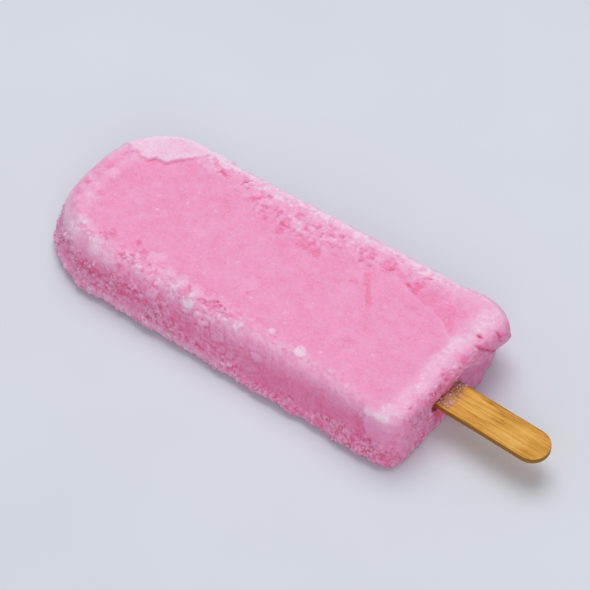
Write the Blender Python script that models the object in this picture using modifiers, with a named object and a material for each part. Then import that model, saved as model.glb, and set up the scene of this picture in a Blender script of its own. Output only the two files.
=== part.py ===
"""Pink ice lolly lying flat on its base, with a flat wooden stick frozen into its butt end.

Metres, +Z up. The stick points along +X, the rounded tip of the ice along -X, and the ice rests on Z = 0.
While it is built, x = 0 is the butt end of the ice and y = 0 its middle line; centre_on_base then moves
both pieces so that the origin lies under the middle of the whole lolly.
"""

import math

import bmesh
import bpy
from mathutils import Matrix, Vector, noise

MM = 0.001

# Ice: a moulded bar with sloping walls, wider at its foot than at its top
ICE_LENGTH = 121.7 * MM
ICE_THICKNESS = 18 * MM
HALF_WIDTH = 27.9 * MM
TIP_TAPER = 1.1 * MM
WALL_DRAFT = 3.8 * MM
TIP_BULGE = 5.2 * MM
BUTT_HOLLOW = 1.2 * MM
BUTT_SKEW = 2.6 * MM
TIP_CORNER_RADIUS = 18 * MM
BUTT_CORNER_RADIUS = 8 * MM
TOP_EDGE_RADIUS = 4.5 * MM
BASE_EDGE_RADIUS = 1.2 * MM

# Sunk panel in the top face, inside a rim that is wide and crumbled on the far side
PANEL_DEPTH = 0.9 * MM
PANEL_STEP = 1.6 * MM
RIM_NEAR = 4.6 * MM
RIM_FAR = 7.5 * MM
RIM_FAR_EXTRA = 6 * MM
RIM_FAR_EXTRA_AT = -62 * MM
RIM_FAR_EXTRA_REACH = 17 * MM
RIM_TIP = 9.5 * MM
RIM_BUTT = 8.5 * MM
RIM_WAVER = 1.8 * MM
TIP_GROOVE = 0.6 * MM
TIP_GROOVE_INSET = 4.5 * MM

# Frost on the ice
CRUST_HEIGHT = 8.5 * MM
CRUST_THICKNESS = 0.7 * MM
CRAG_SIZE = 3.2 * MM
CRAG_DEPTH = 0.5 * MM
PIT_SIZE = 4.2 * MM
PIT_DEPTH = 0.8 * MM

# Flat wooden stick with round ends
STICK_LENGTH = 113 * MM
STICK_WIDTH = 10 * MM
STICK_THICKNESS = 2 * MM
STICK_BARE = 29.2 * MM
STICK_BASE_Z = 8.5 * MM
STICK_Y = -3.6 * MM
STICK_TURN = math.radians(-2.3)
STICK_EDGE = 0.35 * MM
POCKET_GAP = 0.3 * MM

# Faces along the length, the width and the thickness of the ice, closer together near the edges
GRID = (76, 34, 11)
EDGE_CROWDING = 0.2

# Soft lumps and hollows, mm: place from the butt end (x, y, z), reach, and height along the surface
LUMPS = (
    ("far butt lobe", (1.0, 19.5, 12.5), 7.0, 1.0),
    ("scoop under the lobe", (0.5, 15.0, 5.5), 9.5, -2.0),
    ("foot of the near butt", (-2.0, -18.0, 3.0), 9.0, 0.9),
    ("notch beside the lobe", (0.0, 12.5, 12.5), 4.0, -1.5),
    ("hollow of the near wall", (-30.0, -25.5, 11.0), 14.0, -0.6),
    ("hollow further along", (-55.0, -25.5, 11.0), 15.0, -0.45),
    ("flaked near ridge", (-74.0, -21.0, 17.0), 7.0, 0.7),
    ("chipped near ridge", (-84.0, -19.0, 17.0), 5.0, -0.8),
    ("hollow by the far rim", (-64.0, 12.0, 18.0), 5.0, -0.8),
    ("second far hollow", (-47.0, 15.0, 18.0), 6.0, -0.7),
    ("sunk far corner", (-18.0, 15.5, 18.0), 8.0, -0.6),
    ("frost plate at the tip", (-108.0, 18.0, 17.0), 11.0, 0.7),
)


def smooth_step(low, high, value):
    """0 below low, 1 above high, and an even curve between them."""
    t = min(max((value - low) / (high - low), 0.0), 1.0)
    return t * t * (3 - 2 * t)


def clear_scene():
    for old in list(bpy.data.objects):
        bpy.data.objects.remove(old, do_unlink=True)


def new_collection(name):
    group = bpy.data.collections.new(name)
    bpy.context.scene.collection.children.link(group)
    return group


def plain_material(name, colour, roughness):
    finish = bpy.data.materials.new(name)
    finish.use_nodes = True
    shader = finish.node_tree.nodes["Principled BSDF"]
    shader.inputs["Base Color"].default_value = (*colour, 1.0)
    shader.inputs["Roughness"].default_value = roughness
    shader.inputs["Metallic"].default_value = 0.0
    return finish


def mesh_object(name, bm, group, finish):
    mesh = bpy.data.meshes.new(name)
    bm.to_mesh(mesh)
    bm.free()
    made = bpy.data.objects.new(name, mesh)
    made.data.materials.append(finish)
    group.objects.link(made)
    return made


def gridded_block(counts):
    """A cube from -1 to 1 whose faces are cut into a grid."""
    bm = bmesh.new()
    bmesh.ops.create_cube(bm, size=2)
    for axis, count in enumerate(counts):
        along = [e for e in bm.edges if abs((e.verts[0].co - e.verts[1].co)[axis]) > 0.5]
        bmesh.ops.subdivide_edges(bm, edges=along, cuts=count - 1, use_grid_fill=True)
    return bm


def crowded(t):
    """Moves the grid lines from -1 to 1 closer together near both ends."""
    return t * (1 + EDGE_CROWDING * (1 - t * t))


def square_to_round(p, q):
    """Moves a point of a unit square's corner to the quarter disc inside it."""
    return p * math.sqrt(1 - q * q / 2), q * math.sqrt(1 - p * p / 2)


def rounded_plan(x, y):
    """Rounds the corners of the plan. Returns the new point, its distance in from the outline and the way out."""
    half_length = ICE_LENGTH / 2
    radius = TIP_CORNER_RADIUS if x < 0 else BUTT_CORNER_RADIUS
    past_x = abs(x) - (half_length - radius)
    past_y = abs(y) - (HALF_WIDTH - radius)
    if past_x > 0 and past_y > 0:
        p, q = square_to_round(past_x / radius, past_y / radius)
        x = math.copysign(half_length - radius + p * radius, x)
        y = math.copysign(HALF_WIDTH - radius + q * radius, y)
        out = Vector((math.copysign(p, x), math.copysign(q, y), 0))
        return x, y, radius * (1 - out.length), out.normalized()
    if past_x > past_y:
        return x, y, half_length - abs(x), Vector((math.copysign(1, x), 0, 0))
    return x, y, HALF_WIDTH - abs(y), Vector((0, math.copysign(1, y), 0))


def rounded_edge(inset, z, edge_z, radius):
    """Rounds the edge between a wall and a level face at edge_z. Returns the new inset and height."""
    rise = radius - abs(edge_z - z)
    if rise <= 0 or inset >= radius:
        return inset, z
    p, q = square_to_round(1 - inset / radius, rise / radius)
    level = edge_z - math.copysign(radius * (1 - q), edge_z - ICE_THICKNESS / 2)
    return radius * (1 - p), level


def moulded_point(corner):
    """The point of the smooth bar for a point of the block, and that point's place in the plan."""
    x, y, inset, out = rounded_plan(crowded(corner.x) * ICE_LENGTH / 2, crowded(corner.y) * HALF_WIDTH)
    z = (corner.z + 1) / 2 * ICE_THICKNESS
    new_inset, z = rounded_edge(inset, z, ICE_THICKNESS, TOP_EDGE_RADIUS)
    new_inset, z = rounded_edge(new_inset, z, 0.0, BASE_EDGE_RADIUS)
    x -= out.x * (new_inset - inset)
    y -= out.y * (new_inset - inset)
    plan = (x, y, new_inset, out)
    along = x / ICE_LENGTH + 0.5
    bow = 1 - (y / HALF_WIDTH) ** 2
    lean = WALL_DRAFT * z / ICE_THICKNESS
    moved_x = x - ICE_LENGTH / 2 + (lean - TIP_BULGE * bow) * smooth_step(0.6, 0.0, along)
    moved_x += (BUTT_SKEW * y / HALF_WIDTH - BUTT_HOLLOW * bow) * smooth_step(0.6, 1.0, along)
    moved_y = y * (1 - (lean + TIP_TAPER * (1 - along)) / HALF_WIDTH)
    return Vector((moved_x, moved_y, z)), plan


def panel_share(place, plan):
    """0 on the rim of the top face and 1 in the sunk panel."""
    x, y, inset, _ = plan
    waver = RIM_WAVER * noise.noise(place / (9 * MM))
    bump = math.exp(-((place.x - RIM_FAR_EXTRA_AT) / RIM_FAR_EXTRA_REACH) ** 2)
    share = 1.0
    for rim, distance in (
        (RIM_NEAR, inset),
        (RIM_FAR + RIM_FAR_EXTRA * bump, HALF_WIDTH - y),
        (RIM_TIP, ICE_LENGTH / 2 + x),
        (RIM_BUTT, ICE_LENGTH / 2 - x),
    ):
        rim += waver * rim / RIM_FAR
        share *= smooth_step(rim - PANEL_STEP, rim + PANEL_STEP, distance)
    return share


def top_relief(place, plan):
    """Sunk panel, the groove round the tip, and pits and crags along the rim."""
    x, y, inset, _ = plan
    share = panel_share(place, plan)
    on_rim = 1 - share
    tip = smooth_step(-0.6, -0.85, x / (ICE_LENGTH / 2))
    far = smooth_step(0.1, 0.6, y / HALF_WIDTH)
    groove = max(0.0, 1 - abs(inset - TIP_GROOVE_INSET) / (1.8 * MM))
    cell = noise.voronoi(place / PIT_SIZE)[0][0]
    height = -PANEL_DEPTH * share - TIP_GROOVE * tip * groove
    height += CRAG_DEPTH * (0.3 + 0.7 * far + 0.3 * tip) * on_rim * noise.noise(place / CRAG_SIZE)
    height -= PIT_DEPTH * far * on_rim * smooth_step(0.45, 0.1, cell)
    return height + 0.12 * MM * noise.noise(place / (7 * MM))


def wall_relief(place, plan):
    """Frost crust with a ragged upper edge round the foot of the walls, and a broken butt end."""
    out = plan[3]
    border = CRUST_HEIGHT + 2.2 * MM * noise.noise(place / (5 * MM))
    crust = smooth_step(border + 1 * MM, border - 1 * MM, place.z)
    butt = max(0.0, out.x) ** 2
    height = crust * (1 - butt) * (CRUST_THICKNESS + CRAG_DEPTH * noise.noise(place / CRAG_SIZE))
    scooped = smooth_step(2 * MM, 6 * MM, place.y) * smooth_step(17 * MM, 14 * MM, place.y)
    height += butt * (1 - 0.7 * scooped) * 0.85 * MM * noise.noise(place / CRAG_SIZE)
    beside_stick = smooth_step(7.5 * MM, 4 * MM, abs(place.y - STICK_Y))
    over_stick = smooth_step(9 * MM, 11 * MM, place.z) * smooth_step(14.5 * MM, 12 * MM, place.z)
    return height + butt * beside_stick * over_stick * (1.5 * MM + 0.8 * MM * noise.noise(place / CRAG_SIZE))


def lump_relief(place):
    height = 0.0
    for _, centre, reach, rise in LUMPS:
        share = (place - Vector(centre) * MM).length / (reach * MM)
        if share < 1:
            height += rise * MM * (1 - share * share) ** 2
    return height


def build_ice(group, finish):
    """The bar of ice: a gridded block moulded to shape, then raised and sunk along its own normals."""
    bm = gridded_block(GRID)
    plans = []
    for vert in bm.verts:
        vert.co, plan = moulded_point(vert.co)
        plans.append(plan)
    bm.normal_update()
    moves = []
    for vert, plan in zip(bm.verts, plans):
        up = vert.normal.z
        facing_up = smooth_step(0.35, 0.85, up)
        wall = 1 - smooth_step(0.45, 0.9, abs(up))
        height = facing_up * top_relief(vert.co, plan)
        height += wall * wall_relief(vert.co, plan)
        height += (wall + facing_up) * lump_relief(vert.co)
        moves.append(vert.normal * height)
    for vert, move in zip(bm.verts, moves):
        resting = vert.co.z < 0.05 * MM
        vert.co += move
        vert.co.z = 0.0 if resting else max(vert.co.z, 0.25 * MM)
    flatten_base(bm)
    return mesh_object("ice_body", bm, group, finish)


def flatten_base(bm):
    """Makes the resting face one flat face."""
    base = [f for f in bm.faces if all(v.co.z < 1e-9 for v in f.verts)]
    bmesh.ops.dissolve_faces(bm, faces=base, use_verts=False)


def stick_shape(name, grow, group, finish):
    """The stick, or with grow the pocket that it leaves in the ice, lying from its buried end to its bare end."""
    width, length = STICK_WIDTH + 2 * grow, STICK_LENGTH + 2 * grow
    bm = bmesh.new()
    bmesh.ops.create_cube(bm, size=1)
    bmesh.ops.scale(bm, verts=bm.verts, vec=(length, width, STICK_THICKNESS + 2 * grow))
    upright = [e for e in bm.edges if abs(e.verts[0].co.z - e.verts[1].co.z) > STICK_THICKNESS / 2]
    bmesh.ops.bevel(
        bm, geom=upright, offset=width / 2 * 0.99, segments=9, profile=0.5, affect="EDGES", material=-1
    )
    bmesh.ops.translate(bm, verts=bm.verts, vec=(STICK_BARE + grow - length / 2, 0, STICK_THICKNESS / 2))
    made = mesh_object(name, bm, group, finish)
    made.location = (0, STICK_Y, STICK_BASE_Z)
    made.rotation_euler = (0, 0, STICK_TURN)
    return made


def build_stick(group, finish):
    stick = stick_shape("stick", 0.0, group, finish)
    eased = stick.modifiers.new("Eased edges", "BEVEL")
    eased.width = STICK_EDGE
    eased.segments = 2
    eased.limit_method = "ANGLE"
    eased.angle_limit = math.radians(50)
    return stick


def cut_pocket(ice, group, finish):
    """Leaves the stick's room in the ice, with a hair's gap all round."""
    cutter = stick_shape("stick_pocket", POCKET_GAP, group, finish)
    cutter.hide_render = True
    cutter.display_type = "WIRE"
    pocket = ice.modifiers.new("Stick pocket", "BOOLEAN")
    pocket.operation = "DIFFERENCE"
    pocket.solver = "EXACT"
    pocket.object = cutter


def centre_on_base(pieces, everything):
    """Moves every object so that the box round the pieces stands centred on the origin."""
    bpy.context.view_layer.update()
    graph = bpy.context.evaluated_depsgraph_get()
    corners = []
    for piece in pieces:
        shown = piece.evaluated_get(graph)
        corners += [shown.matrix_world @ v.co for v in shown.data.vertices]
    low = Vector(min(c[i] for c in corners) for i in range(3))
    high = Vector(max(c[i] for c in corners) for i in range(3))
    middle = (low + high) / 2
    shift = Matrix.Translation((-middle.x, -middle.y, -low.z))
    for made in everything:
        made.matrix_world = shift @ made.matrix_world
    print("Ice lolly box, mm:", [round(v / MM, 2) for v in high - low], "moved by", shift.translation / MM)


def main():
    clear_scene()
    lolly = new_collection("Ice lolly")
    cutters = new_collection("Cutters")
    pink_ice = plain_material("Pink ice", (0.86, 0.32, 0.56), 0.45)
    pale_wood = plain_material("Stick wood", (0.56, 0.30, 0.09), 0.6)
    ice = build_ice(lolly, pink_ice)
    stick = build_stick(lolly, pale_wood)
    cut_pocket(ice, cutters, pink_ice)
    centre_on_base([ice, stick], [ice, stick, *cutters.objects])
    ice.data.shade_smooth()
    stick.data.shade_flat()


main()
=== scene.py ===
import math
import random
from types import SimpleNamespace

import bmesh
import bpy
import numpy as np
from mathutils import Matrix, Vector, noise


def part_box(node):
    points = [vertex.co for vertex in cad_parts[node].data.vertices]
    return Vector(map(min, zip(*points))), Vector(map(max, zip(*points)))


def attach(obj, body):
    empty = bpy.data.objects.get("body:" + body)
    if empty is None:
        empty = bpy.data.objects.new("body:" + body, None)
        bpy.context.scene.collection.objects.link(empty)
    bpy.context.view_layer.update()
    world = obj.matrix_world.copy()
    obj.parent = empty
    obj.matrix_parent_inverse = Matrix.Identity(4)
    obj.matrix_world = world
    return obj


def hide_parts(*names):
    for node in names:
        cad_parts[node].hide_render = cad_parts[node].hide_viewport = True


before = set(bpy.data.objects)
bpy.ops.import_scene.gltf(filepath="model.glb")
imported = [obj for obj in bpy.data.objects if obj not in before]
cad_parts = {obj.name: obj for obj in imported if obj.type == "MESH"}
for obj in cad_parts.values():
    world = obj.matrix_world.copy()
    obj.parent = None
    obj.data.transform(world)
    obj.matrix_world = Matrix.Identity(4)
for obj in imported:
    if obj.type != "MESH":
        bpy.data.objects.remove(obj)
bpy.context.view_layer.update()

mm = 0.001  # every shape below is worked out in millimetres from the butt end of the ice
stickBare = 29.18  # how far the stick's round end lies from the butt end
buttEnd = Vector((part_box("stick")[1].x - stickBare * mm, 0.0, 0.0))

view = {
    "target": (-58.02, 6.42, 0.0),
    "distance": 576.78,
    "azimuth": 35.92,
    "elevation": 50.76,
    "lens": 128.08,
    "sensor": 36.0,
    "clip": (0.01, 20.0),
}


def makeCamera():
    around = math.radians(view["azimuth"])
    above = math.radians(view["elevation"])
    back = Vector((
        math.sin(around) * math.cos(above),
        -math.cos(around) * math.cos(above),
        math.sin(above),
    ))
    lens = bpy.data.cameras.new("lollyCamera")
    lens.lens = view["lens"]
    lens.sensor_width = view["sensor"]
    lens.clip_start, lens.clip_end = view["clip"]
    camera = bpy.data.objects.new("lollyCamera", lens)
    camera.location = buttEnd + (Vector(view["target"]) + back * view["distance"]) * mm
    camera.rotation_euler = back.to_track_quat("Z", "Y").to_euler()
    bpy.context.collection.objects.link(camera)
    bpy.context.scene.camera = camera


makeCamera()
print("camera set")


# general helpers


noiseShifts = {"lumps": (7.3, 3.1, 5.7), "crags": (5.3, 8.1, 1.7), "cells": (4.1, 6.7, 2.9)}
cragLayers = (0.75, 2.0, 4)  # how fast they weaken, how much finer each is, and how many
pickScale = 37.0  # sets neighbouring cells' numbers far apart


def ramp(low, high, values):  # from 0 at low to 1 at high, with soft ends
    share = np.clip((values - low) / (high - low), 0.0, 1.0)
    return share * share * (3 - 2 * share)


def shifted(kind, seed):
    return Vector([seed * step for step in noiseShifts[kind]])


def lumps(points, size, seed):  # soft lumps of about this size, from -1 to 1
    start = shifted("lumps", seed)
    return np.array([noise.noise(Vector(p) / size + start) for p in points])


def crags(points, size, seed):  # rough lumps with ever finer ones on them, about -1 to 1
    start = shifted("crags", seed)
    return np.array([noise.fractal(Vector(p) / size + start, *cragLayers) for p in points])


def cells(points, size, seed):  # the gap to a cell's border, and the cell's own number 0 to 1
    start = shifted("cells", seed)
    gap = np.zeros(len(points))
    pick = np.zeros(len(points))
    for i, p in enumerate(points):
        away, middles = noise.voronoi(Vector(p) / size + start)
        gap[i] = away[1] - away[0]
        pick[i] = (noise.cell(middles[0] * pickScale) + 1) / 2
    return gap, pick


def lineDistance(points, line):  # distance in plan to a line, which side it is on, and how far along it lies
    best = np.full(len(points), np.inf)
    side = np.zeros(len(points))
    along = np.zeros(len(points))
    spots = np.array(line, float)
    flat = points[:, :2]
    for i in range(len(spots) - 1):
        start, step = spots[i], spots[i + 1] - spots[i]
        t = np.clip(((flat - start) @ step) / (step @ step), 0.0, 1.0)
        gapTo = flat - (start + t[:, None] * step)
        distance = np.hypot(gapTo[:, 0], gapTo[:, 1])
        closer = distance < best
        best[closer] = distance[closer]
        side[closer] = np.sign(step[0] * gapTo[closer, 1] - step[1] * gapTo[closer, 0])
        along[closer] = (i + t[closer]) / (len(spots) - 1)
    return best, side, along


def squareToRound(p, q):
    return p * math.sqrt(1 - q * q / 2), q * math.sqrt(1 - p * p / 2)


def roundedPlan(x, y, halfLength, halfWidth, tipRadius, buttRadius):
    radius = tipRadius if x < 0 else buttRadius
    pastX = abs(x) - (halfLength - radius)
    pastY = abs(y) - (halfWidth - radius)
    if pastX > 0 and pastY > 0:
        p, q = squareToRound(pastX / radius, pastY / radius)
        out = Vector((math.copysign(p, x), math.copysign(q, y), 0))
        x = math.copysign(halfLength - radius + p * radius, x)
        y = math.copysign(halfWidth - radius + q * radius, y)
        return x, y, radius * (1 - out.length), out.normalized()
    if pastX > pastY:
        return x, y, halfLength - abs(x), Vector((math.copysign(1, x), 0, 0))
    return x, y, halfWidth - abs(y), Vector((0, math.copysign(1, y), 0))


def roundedEdge(inset, z, edgeZ, radius, thickness):
    rise = radius - abs(edgeZ - z)
    if rise <= 0 or inset >= radius:
        return inset, z
    p, q = squareToRound(1 - inset / radius, rise / radius)
    return radius * (1 - p), edgeZ - math.copysign(radius * (1 - q), edgeZ - thickness / 2)


def griddedBlock(counts, openBase=None):  # a cube from -1 to 1 in a grid, its underside whole
    bm = bmesh.new()
    bmesh.ops.create_cube(bm, size=2)
    for axis, count in enumerate(counts):
        along = [e for e in bm.edges if abs((e.verts[0].co - e.verts[1].co)[axis]) > 0.5]
        bmesh.ops.subdivide_edges(bm, edges=along, cuts=count - 1, use_grid_fill=True)
    if openBase:
        wide, deep = openBase
        inside = [v.co.z < -0.999 and abs(v.co.x) < wide and abs(v.co.y) < deep for v in bm.verts]
        bm.verts.index_update()
        under = [f for f in bm.faces if all(inside[v.index] for v in f.verts)]
        bmesh.ops.dissolve_faces(bm, faces=under, use_verts=False)
    return bm


def finishedPiece(name, bm, material, node=None):
    bmesh.ops.scale(bm, verts=bm.verts, vec=(mm, mm, mm))
    bmesh.ops.translate(bm, verts=bm.verts, vec=buttEnd)
    bm.normal_update()
    mesh = bpy.data.meshes.new(name)
    bm.to_mesh(mesh)
    bm.free()
    mesh.shade_smooth()
    mesh.materials.append(material)
    piece = bpy.data.objects.new(name, mesh)
    bpy.context.collection.objects.link(piece)
    if node:
        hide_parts(node)
    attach(piece, "root")
    return piece


# materials


def newMaterial(name):
    material = bpy.data.materials.new(name)
    material.use_nodes = True
    nodes, links = material.node_tree.nodes, material.node_tree.links
    place = nodes.new("ShaderNodeTexCoord").outputs["Object"]
    return material, nodes, links, nodes["Principled BSDF"], place


def addRamp(nodes, links, value, stops):
    node = nodes.new("ShaderNodeValToRGB")
    elements = node.color_ramp.elements
    while len(elements) < len(stops):
        elements.new(0.5)
    for element, (spot, colour) in zip(elements, stops):
        element.position = spot
        element.color = (*colour, 1.0)
    links.new(value, node.inputs["Fac"])
    return node.outputs["Color"]


def addNoise(nodes, links, where, scale, detail, roughness):
    node = nodes.new("ShaderNodeTexNoise")
    node.inputs["Scale"].default_value = scale
    node.inputs["Detail"].default_value = detail
    node.inputs["Roughness"].default_value = roughness
    links.new(where, node.inputs["Vector"])
    return node


def addVoronoi(nodes, links, where, scale):
    node = nodes.new("ShaderNodeTexVoronoi")
    node.inputs["Scale"].default_value = scale
    links.new(where, node.inputs["Vector"])
    return node.outputs["Distance"]


def addMapping(nodes, links, where, scale, turn=0.0):
    node = nodes.new("ShaderNodeMapping")
    node.inputs["Rotation"].default_value = (0.0, 0.0, turn)
    node.inputs["Scale"].default_value = scale
    links.new(where, node.inputs["Vector"])
    return node.outputs["Vector"]


def addAttribute(nodes, name):
    node = nodes.new("ShaderNodeAttribute")
    node.attribute_name = name
    return node.outputs["Fac"]


def addMath(nodes, links, operation, first, second):
    node = nodes.new("ShaderNodeMath")
    node.operation = operation
    for socket, value in zip(node.inputs, (first, second)):
        if isinstance(value, (int, float)):
            socket.default_value = value
        else:
            links.new(value, socket)
    return node.outputs[0]


def addScaled(nodes, links, level, pattern, share):  # level + pattern * share
    return addMath(nodes, links, "ADD", level, addMath(nodes, links, "MULTIPLY", pattern, share))


def addRange(nodes, links, value, fromLow, fromHigh, toLow=0.0, toHigh=1.0):
    node = nodes.new("ShaderNodeMapRange")
    for name, limit in (("From Min", fromLow), ("From Max", fromHigh), ("To Min", toLow), ("To Max", toHigh)):
        node.inputs[name].default_value = limit
    links.new(value, node.inputs["Value"])
    return node.outputs["Result"]


def addBump(nodes, links, shader, height, strength, depth):
    node = nodes.new("ShaderNodeBump")
    node.inputs["Strength"].default_value = strength
    node.inputs["Distance"].default_value = depth * mm
    links.new(height, node.inputs["Height"])
    links.new(node.outputs["Normal"], shader.inputs["Normal"])


iceBending = 1.31  # ice's index of refraction

iceLook = {
    # painted shade: a dark colour that stands for the shade in crevices, gaps, pits and under the stick
    "hole": (0.42, 0.03, 0.10),
    "deep": (0.85, 0.145, 0.335),
    "pink": (0.905, 0.345, 0.60),
    "pale": (0.92, 0.50, 0.72),
    "white": (0.92, 0.71, 0.85),
    "stops": ((0.0, "hole"), (0.18, "deep"), (0.333, "deep"), (0.573, "pink"), (0.813, "pale"),
              (1.0, "white")),
    "levels": (-0.5, 1.0),  # the frost levels at the first and the last colour
    "roughness": ((0.0, 0.30), (0.35, 0.42), (0.8, 0.75)),  # by frost level
    "specular": 0.6,
    "glow": 0.3,  # how much light spreads inside the ice
    "glowReach": (2.4, 0.7, 1.2),
    "broad": (430.0, 5.0, 0.7),  # patterns: scale, detail and roughness
    "fine": (1500.0, 4.0, 0.7),
    "streak": (1100.0, 3.0, 0.6),
    "shares": (0.26, 0.55, 0.16),  # how far each of the three moves the frost level
    "streakStretch": (0.16, 1.0, 1.0),
    "streakTurn": math.radians(52.0),
    "dotScale": 420.0,
    "dotLevel": (0.18, 0.08, 0.0, 0.2),  # by distance from a dot's middle
    "crumbSize": 1.45,
    "crumbWarp": 1.1,
    "crumbLevel": (0.22, 0.66, 0.15, -0.27),
    "crumbRelief": 2.4,
    "bump": (0.7, 0.2),
}


def makeIce():
    material, nodes, links, shader, place = newMaterial("pinkIce")
    broad = addNoise(nodes, links, place, *iceLook["broad"])
    fine = addNoise(nodes, links, place, *iceLook["fine"])
    drawn = addMapping(nodes, links, place, iceLook["streakStretch"], iceLook["streakTurn"])
    streak = addNoise(nodes, links, drawn, *iceLook["streak"])
    dots = addRange(nodes, links, addVoronoi(nodes, links, place, iceLook["dotScale"]), *iceLook["dotLevel"])
    level = addMath(nodes, links, "ADD", addAttribute(nodes, "frost"), dots)
    warp = nodes.new("ShaderNodeVectorMath")
    warp.operation = "MULTIPLY_ADD"
    warp.inputs[1].default_value = (iceLook["crumbWarp"] * mm,) * 3
    links.new(broad.outputs["Color"], warp.inputs[0])
    links.new(place, warp.inputs[2])
    crumb = addVoronoi(nodes, links, warp.outputs["Vector"], 1 / (iceLook["crumbSize"] * mm))
    crumbLevel = addRange(nodes, links, crumb, *iceLook["crumbLevel"])
    crumbLevel = addMath(nodes, links, "MULTIPLY", crumbLevel, addAttribute(nodes, "crumbs"))
    level = addMath(nodes, links, "ADD", level, crumbLevel)
    for pattern, share in zip((broad, fine, streak), iceLook["shares"]):
        wander = addMath(nodes, links, "SUBTRACT", pattern.outputs["Fac"], 0.5)
        level = addScaled(nodes, links, level, wander, share)
    spread = addRange(nodes, links, level, *iceLook["levels"])
    colours = [(spot, iceLook[name]) for spot, name in iceLook["stops"]]
    links.new(addRamp(nodes, links, spread, colours), shader.inputs["Base Color"])
    greys = [(spot, (rough,) * 3) for spot, rough in iceLook["roughness"]]
    links.new(addRamp(nodes, links, level, greys), shader.inputs["Roughness"])
    shader.inputs["IOR"].default_value = iceBending
    shader.inputs["Specular IOR Level"].default_value = iceLook["specular"]
    shader.inputs["Subsurface Weight"].default_value = iceLook["glow"]
    shader.inputs["Subsurface Radius"].default_value = iceLook["glowReach"]
    shader.inputs["Subsurface Scale"].default_value = mm
    relief = addScaled(nodes, links, fine.outputs["Fac"], crumbLevel, iceLook["crumbRelief"])
    addBump(nodes, links, shader, relief, *iceLook["bump"])
    return material


woodLook = {
    "stops": ((0.62, (0.34, 0.14, 0.015)), (0.77, (0.66, 0.31, 0.038)), (0.93, (0.82, 0.475, 0.10))),
    "roughness": 0.5,
    "specular": 0.2,
    "turn": math.radians(2.3),
    "grainLength": 22.0,  # how much longer the grain's streaks are than they are wide
    "fibre": (2500.0, 5.0, 0.7),
    "band": (420.0, 3.0, 0.5),
    "stain": (120.0, 3.0, 0.5),
    "shares": (0.78, 0.42, 0.42),
    "bump": (0.35, 0.06),
}


def makeWood():
    material, nodes, links, shader, place = newMaterial("stickWood")
    straight = addMapping(nodes, links, place, (1.0, 1.0, 1.0), woodLook["turn"])
    drawn = addMapping(nodes, links, straight, (1 / woodLook["grainLength"], 1.0, 1.0))
    patterns = [
        addNoise(nodes, links, where, *woodLook[name]).outputs["Fac"]
        for name, where in (("fibre", drawn), ("band", drawn), ("stain", straight))
    ]
    level = 0.0
    for pattern, share in zip(patterns, woodLook["shares"]):
        level = addScaled(nodes, links, level, pattern, share)
    # darker where the attribute says: painted shade on the stick's cut faces, the edges, and its stain
    level = addMath(nodes, links, "SUBTRACT", level, addAttribute(nodes, "paintedShadeAndStain"))
    links.new(addRamp(nodes, links, level, woodLook["stops"]), shader.inputs["Base Color"])
    shader.inputs["Roughness"].default_value = woodLook["roughness"]
    shader.inputs["Specular IOR Level"].default_value = woodLook["specular"]
    addBump(nodes, links, shader, patterns[0], *woodLook["bump"])
    return material


crystalLook = {
    "stops": ((0.35, (0.84, 0.30, 0.51)), (0.65, (0.89, 0.47, 0.66))),
    "tone": (700.0, 3.0, 0.6),
    "roughness": 0.7,
}


def makeFrostCrystals():
    material, nodes, links, shader, place = newMaterial("frostCrystals")
    tone = addNoise(nodes, links, place, *crystalLook["tone"]).outputs["Fac"]
    links.new(addRamp(nodes, links, tone, crystalLook["stops"]), shader.inputs["Base Color"])
    shader.inputs["Roughness"].default_value = crystalLook["roughness"]
    shader.inputs["IOR"].default_value = iceBending
    return material


filmLook = {
    "stops": ((0.0, (0.96, 0.86, 0.84)), (0.05, (0.42, 0.25, 0.15))),
    "cloud": (620.0, 3.0, 0.6),
    "cover": (0.0, 0.035, 0.45, 0.22),  # opacity by distance from a vein
    "roughness": 0.1,
}


def makeClearIce():
    material, nodes, links, shader, place = newMaterial("clearIce")
    cloud = addNoise(nodes, links, place, *filmLook["cloud"]).outputs["Fac"]
    vein = addMath(nodes, links, "ABSOLUTE", addMath(nodes, links, "SUBTRACT", cloud, 0.5), 0.0)
    links.new(addRange(nodes, links, vein, *filmLook["cover"]), shader.inputs["Alpha"])
    links.new(addRamp(nodes, links, vein, filmLook["stops"]), shader.inputs["Base Color"])
    shader.inputs["Roughness"].default_value = filmLook["roughness"]
    shader.inputs["IOR"].default_value = iceBending
    return material


pinkIce = makeIce()
stickWood = makeWood()
frostCrystals = makeFrostCrystals()
clearIce = makeClearIce()
print("materials made")


# the bar of ice

bar = {
    "length": 121.7,
    "thickness": 18.0,
    "halfWidth": 27.9,
    "tipTaper": 1.1,
    "draft": 3.8,
    "tipBulge": 5.2,
    "buttHollow": 1.2,
    "buttSkew": 2.6,
    "tipRadius": 18.0,
    "buttRadius": {"near": 5.5, "far": 10.0},
    "topEdge": {"near": 7.5, "far": 4.5, "tip": 6.5, "butt": 3.0},
    "sharper": (0.45, 27.0, 47.0),  # how much tighter the near edge gets towards the butt, from and to
    "baseEdge": 3.2,  # how high the rounding under the bar reaches
    "baseReach": 6.5,  # and how far in
    "baseAtButt": 0.3,  # its share at the butt end
    "cornerCut": 4.3,  # how far the far corner of the butt end lies back under its lobe
    "cornerBack": 2.0,  # and how far it is drawn in along the bar
    "cornerSpans": ((8.0, 24.0), (-12.0, -3.0), (10.4, 8.8)),  # where the cut begins and is full, in y, x, z
    "backSpans": ((10.0, 19.0), (-14.0, -2.0), (5.0, 0.0)),
    "endShare": 0.6,  # where along the bar its ends begin to bow
    "crowding": 0.2,  # how much closer the grid lies near the edges
    "grid": (300, 138, 41),
    "openBase": (0.82, 0.68),
    "lowest": 0.1,  # how high frost off the flat underside stays
}

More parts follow.
